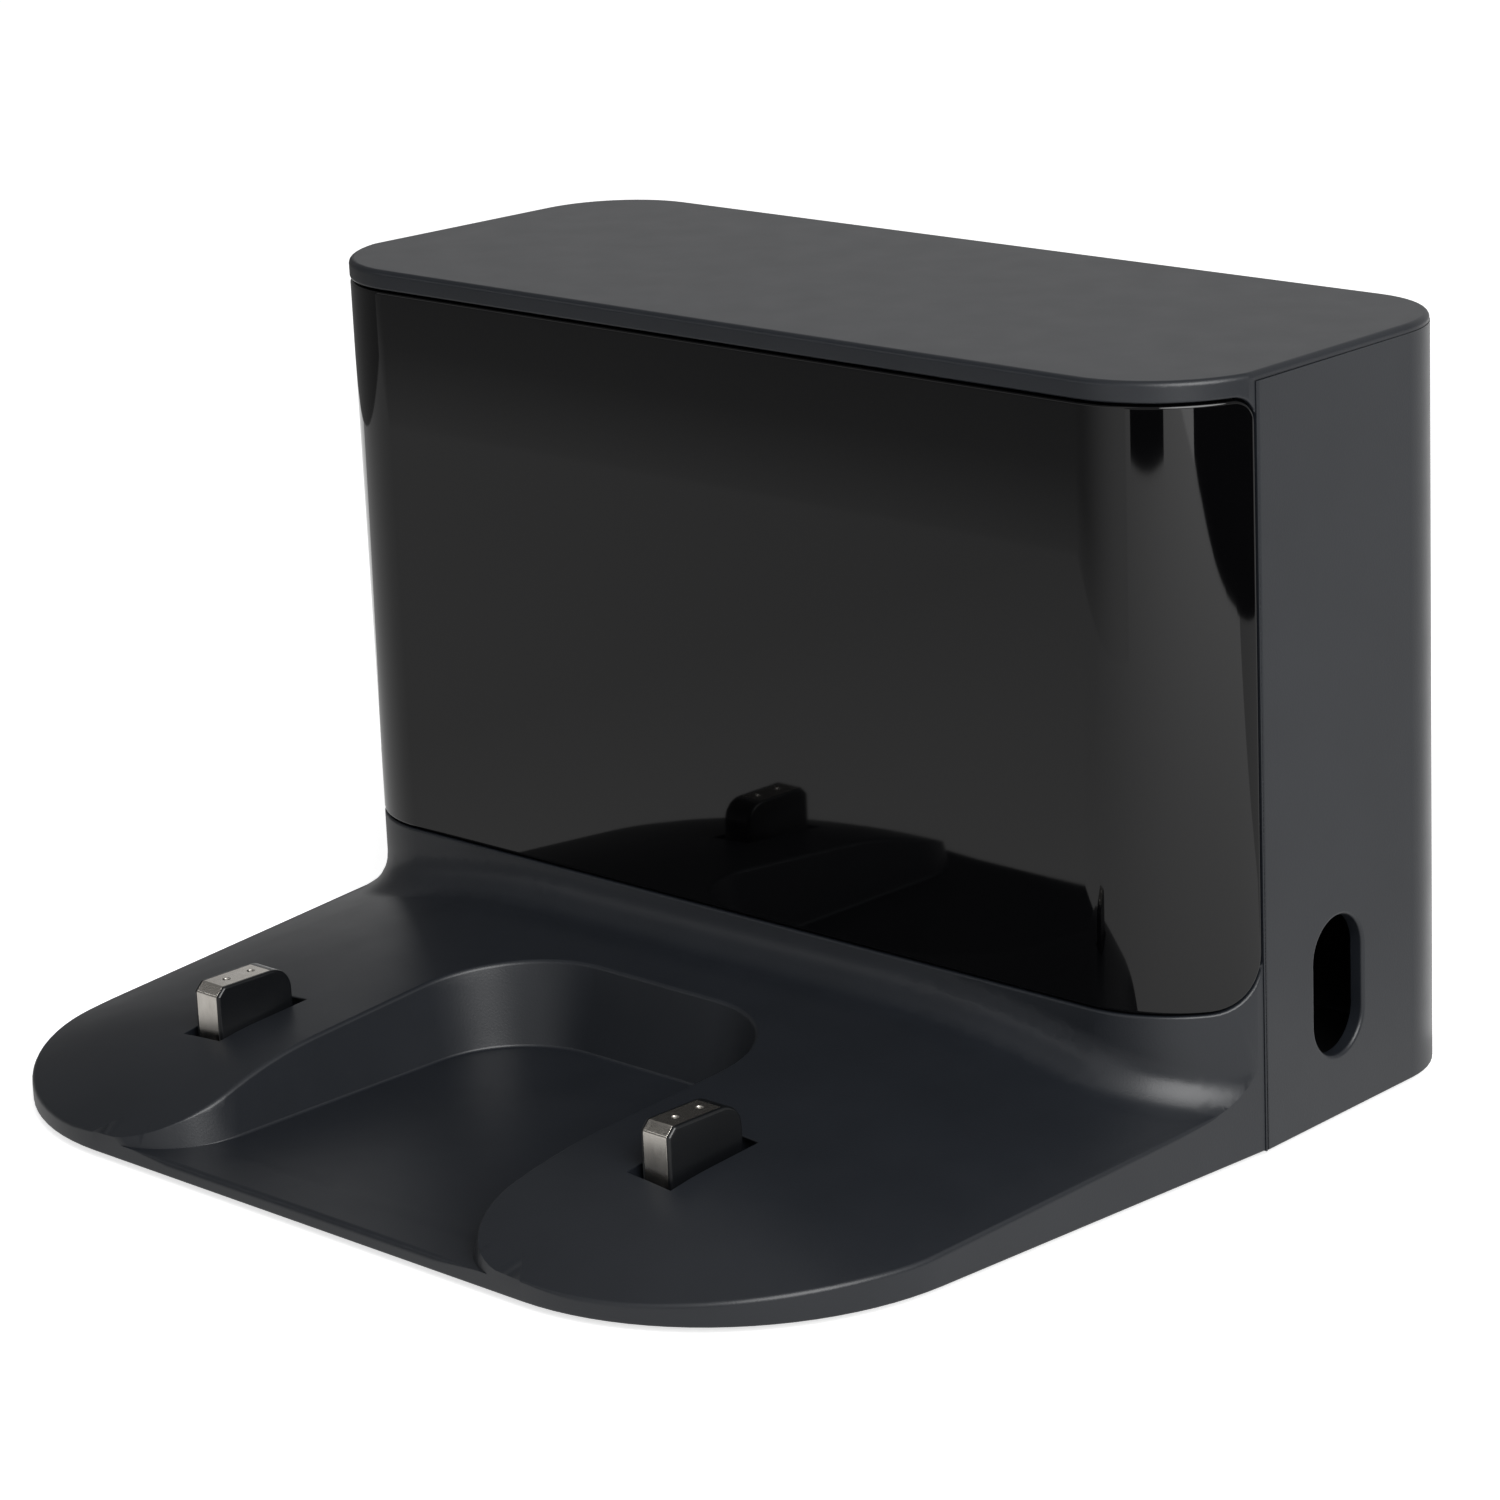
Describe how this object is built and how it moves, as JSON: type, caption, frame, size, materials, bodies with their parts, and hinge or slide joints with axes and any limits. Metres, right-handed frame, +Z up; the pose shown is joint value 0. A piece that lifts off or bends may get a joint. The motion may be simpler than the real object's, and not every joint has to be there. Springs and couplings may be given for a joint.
{
  "type": "robot vacuum charging dock",
  "caption": "Charging dock for a robot vacuum: low flared deck with sprung contacts and a wheel recess in front of a dark infrared window tower, with a pull-off cable bay cover.",
  "frame": {"origin": "centre of the dock's bounding box at the floor, under its feet", "axes": "+X to the dock's own right as seen from the robot, -Y towards the robot, +Z up"},
  "size_m": [0.151, 0.132, 0.0962],
  "materials": {
    "housing": "matte charcoal moulding with a fine texture",
    "cover": "matte charcoal moulding with a fine texture",
    "window": "mirror-gloss dark plastic that lets infrared through",
    "base": "matt black moulding",
    "tray": "matt black moulding",
    "rubber": "soft black pad",
    "contact_plastic": "satin black moulding",
    "nickel": "nickel-plated sheet, satin",
    "steel": "plain steel",
    "zinc": "zinc-plated steel",
    "board": "circuit board with green mask",
    "ferrite": "sintered ferrite",
    "copper": "enamelled copper wire",
    "aluminium": "drawn can or bent sheet",
    "tinted_lens": "dark tinted lens",
    "brass_pin": "turned pin",
    "lead_sleeve": "insulated wire"
  },
  "bodies": {
    "dock": {"front_housing": "housing", "ir_window": "window", "base_plate": "base", "cable_tray": "tray", "ballast_plate": "steel", "base_screws": "zinc", "board_screws": "zinc", "emitter_board_screws": "zinc", "power_board": "board", "transformer_core": "ferrite", "transformer_winding": "copper", "input_capacitor": "aluminium", "output_capacitors": "aluminium", "heat_sink": "aluminium", "input_choke": "copper", "power_inlet": "contact_plastic", "inlet_pins": "brass_pin", "emitter_board": "board", "ir_emitters": "tinted_lens", "light_baffle": "contact_plastic", "front_left_foot": "rubber", "front_right_foot": "rubber", "rear_left_foot": "rubber", "rear_right_foot": "rubber", "left_contact_spring": "steel", "left_contact_guide": "contact_plastic", "left_contact_lead": "lead_sleeve", "right_contact_spring": "steel", "right_contact_guide": "contact_plastic", "right_contact_lead": "lead_sleeve"},
    "left_contact": {"left_contact_block": "contact_plastic", "left_contact_strip": "nickel"},
    "right_contact": {"right_contact_block": "contact_plastic", "right_contact_strip": "nickel"},
    "cover": {"rear_cover": "cover"}
  },
  "joints": [
    {"name": "left_contact_press", "type": "slide", "parent": "dock", "child": "left_contact", "axis": [0, 0, -1], "range_m": [0, 0.0028], "stiffness_N_per_m": 300, "springref_m": -0.002, "deforming": ["left_contact_spring"]},
    {"name": "right_contact_press", "type": "slide", "parent": "dock", "child": "right_contact", "axis": [0, 0, -1], "range_m": [0, 0.0028], "stiffness_N_per_m": 300, "springref_m": -0.002, "deforming": ["right_contact_spring"]},
    {"name": "rear_cover_pull", "type": "slide", "parent": "dock", "child": "cover", "axis": [0, 1, 0], "range_m": [0, 0.06]}
  ]
}
